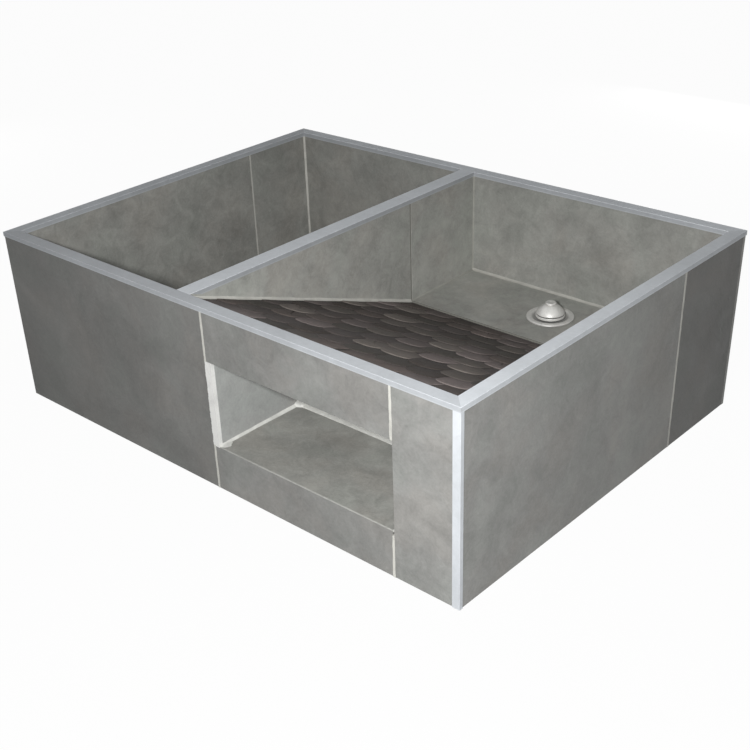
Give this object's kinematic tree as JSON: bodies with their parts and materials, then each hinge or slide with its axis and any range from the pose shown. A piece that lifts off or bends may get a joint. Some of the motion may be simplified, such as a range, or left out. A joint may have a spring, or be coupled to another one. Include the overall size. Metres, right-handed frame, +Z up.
{
  "type": "laundry sink",
  "caption": "Tile-clad laundry sink block with a deep basin, a second basin with a sloping washboard of overlapping scales, a soap niche in the front and lift-out drain plugs.",
  "frame": {"origin": "middle of the footprint, on the surface that the sink stands on", "axes": "+X along the width to the washboard's side, +Y from front to back, +Z up; the soap niche opens to -Y"},
  "size_m": [1, 0.742, 0.317],
  "materials": {
    "outer_tile": "matt cement-look glaze with soft mottling",
    "basin_tile": "matt cement-look glaze with soft mottling",
    "washboard_tile": "matt dark slate look, overlapping scales in relief",
    "mortar": "rough grey cement mortar",
    "grout": "pale fine cement grout",
    "caulk": "hand-smoothed pale sealant",
    "trim_metal": "satin anodised sheet",
    "drain_steel": "satin stainless steel",
    "seal_rubber": "matt black rubber"
  },
  "bodies": {
    "root": {"back_core": "mortar", "back_left_tile": "outer_tile", "back_right_tile": "outer_tile", "corner_profile": "trim_metal", "drain_bodies": "drain_steel", "drain_gaskets": "seal_rubber", "drain_lock_nuts": "drain_steel", "drain_strainers": "drain_steel", "front_core": "mortar", "front_large_tile": "outer_tile", "front_lintel_tile": "outer_tile", "front_pilaster_tile": "outer_tile", "front_sill_tile": "outer_tile", "left_basin_back_tile": "basin_tile", "left_basin_caulk": "caulk", "left_basin_floor_back_tile": "basin_tile", "left_basin_floor_front_tile": "basin_tile", "left_basin_front_tile": "basin_tile", "left_basin_grout": "grout", "left_basin_partition_back_tile": "basin_tile", "left_basin_partition_front_tile": "basin_tile", "left_basin_side_back_tile": "basin_tile", "left_basin_side_front_tile": "basin_tile", "left_core": "mortar", "left_floor_bed": "mortar", "left_side_back_tile": "outer_tile", "left_side_front_tile": "outer_tile", "niche_back_tile": "basin_tile", "niche_casing": "mortar", "niche_caulk": "caulk", "niche_ceiling_tile": "basin_tile", "niche_floor_tile": "basin_tile", "niche_left_tile": "basin_tile", "niche_right_tile": "basin_tile", "outer_grout": "grout", "partition_core": "mortar", "right_basin_back_tile": "basin_tile", "right_basin_caulk": "caulk", "right_basin_floor_tile": "basin_tile", "right_basin_grout": "grout", "right_basin_partition_back_tile": "basin_tile", "right_basin_partition_front_tile": "basin_tile", "right_basin_side_back_tile": "basin_tile", "right_basin_side_front_tile": "basin_tile", "right_core": "mortar", "right_floor_bed": "mortar", "right_side_back_tile": "outer_tile", "right_side_front_tile": "outer_tile", "rim_back": "trim_metal", "rim_front": "trim_metal", "rim_left": "trim_metal", "rim_partition": "trim_metal", "rim_right": "trim_metal", "washboard": "washboard_tile", "washboard_bed": "mortar"},
    "left_plug": {"left_plug": "drain_steel", "left_plug_seal": "seal_rubber"},
    "right_plug": {"right_plug": "drain_steel", "right_plug_seal": "seal_rubber"}
  },
  "joints": [
    {"name": "left_plug_lift", "type": "slide", "parent": "root", "child": "left_plug", "axis": [0, 0, 1], "range_m": [0, 0.3]},
    {"name": "right_plug_lift", "type": "slide", "parent": "root", "child": "right_plug", "axis": [0, 0, 1], "range_m": [0, 0.25]}
  ]
}
